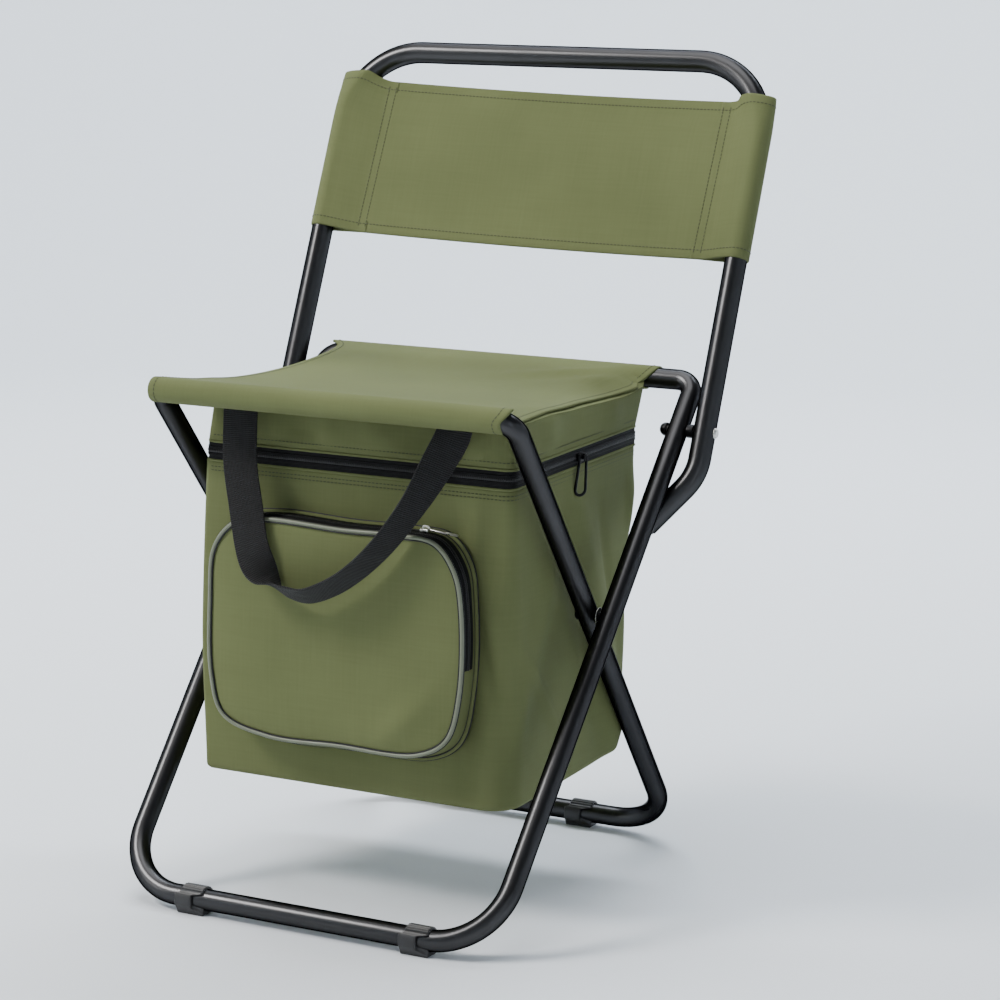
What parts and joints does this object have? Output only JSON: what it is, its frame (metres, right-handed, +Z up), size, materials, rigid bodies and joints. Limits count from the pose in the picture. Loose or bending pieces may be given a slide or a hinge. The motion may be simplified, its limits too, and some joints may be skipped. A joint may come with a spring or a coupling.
{
  "type": "folding cooler stool",
  "caption": "Folding stool with a crossed tube frame, cloth seat, hinged backrest and a zipped insulated bag under the seat with a front pocket and a carrying strap.",
  "frame": {"origin": "middle of the stool's bounding box, on the floor that its four foot clips stand on", "axes": "+Z up, +Y from the front of the stool to its backrest, +X to the right as seen by someone facing its front"},
  "size_m": [0.387, 0.4144, 0.6256],
  "materials": {
    "frame_paint": "gloss black powder coat on steel tube",
    "foot_plastic": "satin black moulded plastic",
    "black_fastener": "black plated steel",
    "washer_steel": "plain zinc",
    "rivet_steel": "bright plated steel",
    "canvas": "olive green coated polyester canvas, plain weave",
    "liner_foil": "silver film on closed foam",
    "base_board": "plain stiff board",
    "webbing": "black woven webbing with fine ribs",
    "zip_tape": "black woven tape with a nylon coil",
    "black_metal": "black enamelled zinc casting",
    "pull_steel": "plated zinc",
    "piping": "grey green satin piping"
  },
  "bodies": {
    "outer_frame": {"back_cap_nut_left": "black_fastener", "back_cap_nut_right": "black_fastener", "back_pin_left": "rivet_steel", "back_pin_right": "rivet_steel", "back_spacer_left": "black_fastener", "back_spacer_right": "black_fastener", "cooler_base_board": "base_board", "cooler_body": "canvas", "cooler_lid": "canvas", "cooler_lid_pad": "liner_foil", "cooler_liner": "liner_foil", "cooler_rear_strip": "canvas", "cooler_zip_tape": "zip_tape", "foot_clip_front_left": "foot_plastic", "foot_clip_front_right": "foot_plastic", "leg_pivot_pin_left": "black_fastener", "leg_pivot_pin_right": "black_fastener", "leg_pivot_washer_left": "washer_steel", "leg_pivot_washer_right": "washer_steel", "outer_leg_frame": "frame_paint", "pocket_front_piping": "piping", "pocket_rear_piping": "piping", "pocket_shell": "canvas", "pocket_zip_tape": "zip_tape", "seat_sling": "canvas", "strap_tab_left": "webbing", "strap_tab_right": "webbing"},
    "inner_frame": {"inner_leg_frame": "frame_paint", "foot_clip_rear_left": "foot_plastic", "foot_clip_rear_right": "foot_plastic"},
    "back_rest": {"back_frame": "frame_paint", "back_panel": "canvas"},
    "strap": {"carry_strap": "webbing"},
    "cooler_slider": {"cooler_zip_slider": "black_metal"},
    "cooler_pull": {"cooler_zip_pull": "black_metal"},
    "pocket_slider": {"pocket_zip_slider": "black_metal"},
    "pocket_pull": {"pocket_zip_pull": "pull_steel"}
  },
  "joints": [
    {"name": "leg_fold", "type": "hinge", "parent": "outer_frame", "child": "inner_frame", "pos_m": [0, -0.02041, 0.21613], "axis": [-1, 0, 0], "range_deg": [0, 76], "deforming": ["seat_sling"]},
    {"name": "back_fold", "type": "hinge", "parent": "outer_frame", "child": "back_rest", "pos_m": [0, 0.08809, 0.3426], "axis": [1, 0, 0], "range_deg": [0, 90]},
    {"name": "strap_swing", "type": "hinge", "parent": "outer_frame", "child": "strap", "pos_m": [0, -0.1384, 0.3655], "axis": [-1, 0, 0], "range_deg": [0, 70]},
    {"name": "cooler_zip_slide", "type": "slide", "parent": "outer_frame", "child": "cooler_slider", "axis": [0, 0.9995, 0.0322], "range_m": [-0.09, 0.1]},
    {"name": "cooler_pull_swing", "type": "hinge", "parent": "cooler_slider", "child": "cooler_pull", "pos_m": [0.1283, -0.0164, 0.33182], "axis": [1, 0, 0], "range_deg": [-80, 80]},
    {"name": "pocket_zip_slide", "type": "slide", "parent": "outer_frame", "child": "pocket_slider", "axis": [1, 0, 0], "range_m": [-0.118, 0]},
    {"name": "pocket_pull_swing", "type": "hinge", "parent": "pocket_slider", "child": "pocket_pull", "pos_m": [0.061, -0.1322, 0.2882], "axis": [0, -1, 0], "range_deg": [0, 115]}
  ]
}
